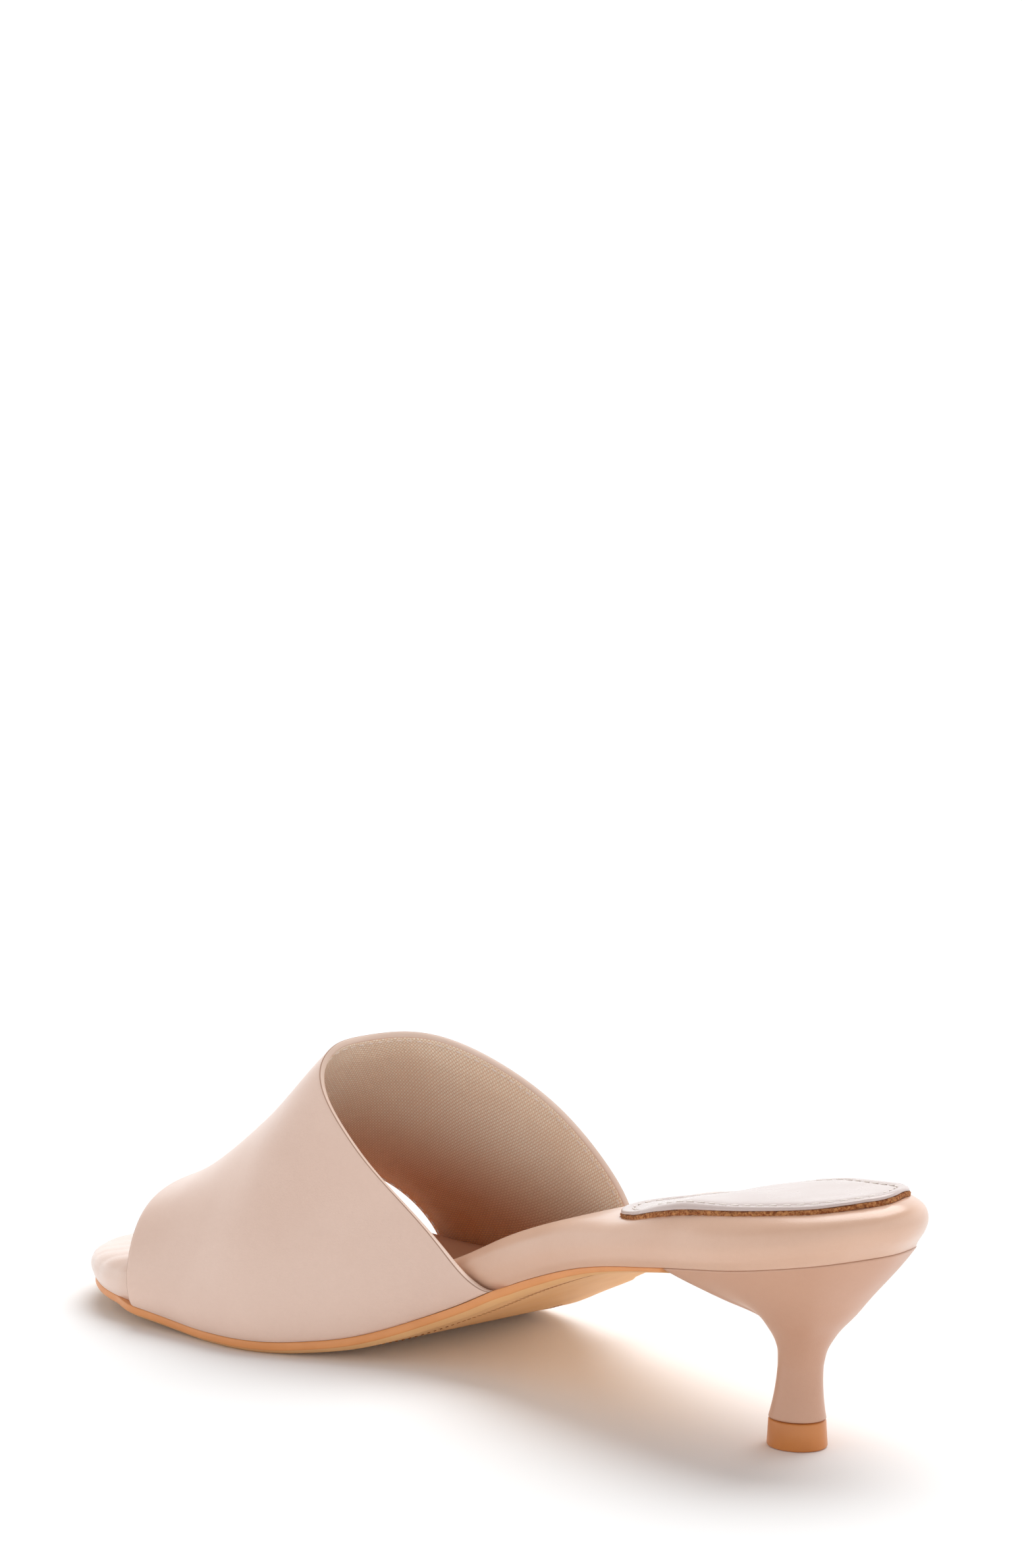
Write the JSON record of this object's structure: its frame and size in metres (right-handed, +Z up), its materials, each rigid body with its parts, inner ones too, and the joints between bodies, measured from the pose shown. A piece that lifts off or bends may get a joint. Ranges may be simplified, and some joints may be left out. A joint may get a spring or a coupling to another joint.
{
  "type": "slide sandal",
  "caption": "Slide sandal with a padded footbed, one wide smooth band over the forefoot, an open toe, a short heel sock and a slim, low heel on a small block.",
  "frame": {"origin": "middle of the ground face under the heel", "axes": "+X runs from the heel to the toe, +Y to the inner side of the foot, +Z up; the floor is Z 0"},
  "size_m": [0.2435, 0.0854, 0.0685],
  "materials": {
    "outsole": "smooth tan sole, satin",
    "footbed": "soft smooth leather over padding, satin",
    "upper": "smooth leather, satin",
    "heel": "leather-covered, satin",
    "top_lift": "moulded, satin",
    "sock_backing": "raw edge, matt",
    "sock_cover": "smooth leather, gloss"
  },
  "bodies": {
    "root": {"outsole": "outsole", "footbed": "footbed", "upper": "upper", "heel": "heel", "top_lift": "top_lift", "sock_backing": "sock_backing", "sock_cover": "sock_cover"}
  },
  "joints": []
}
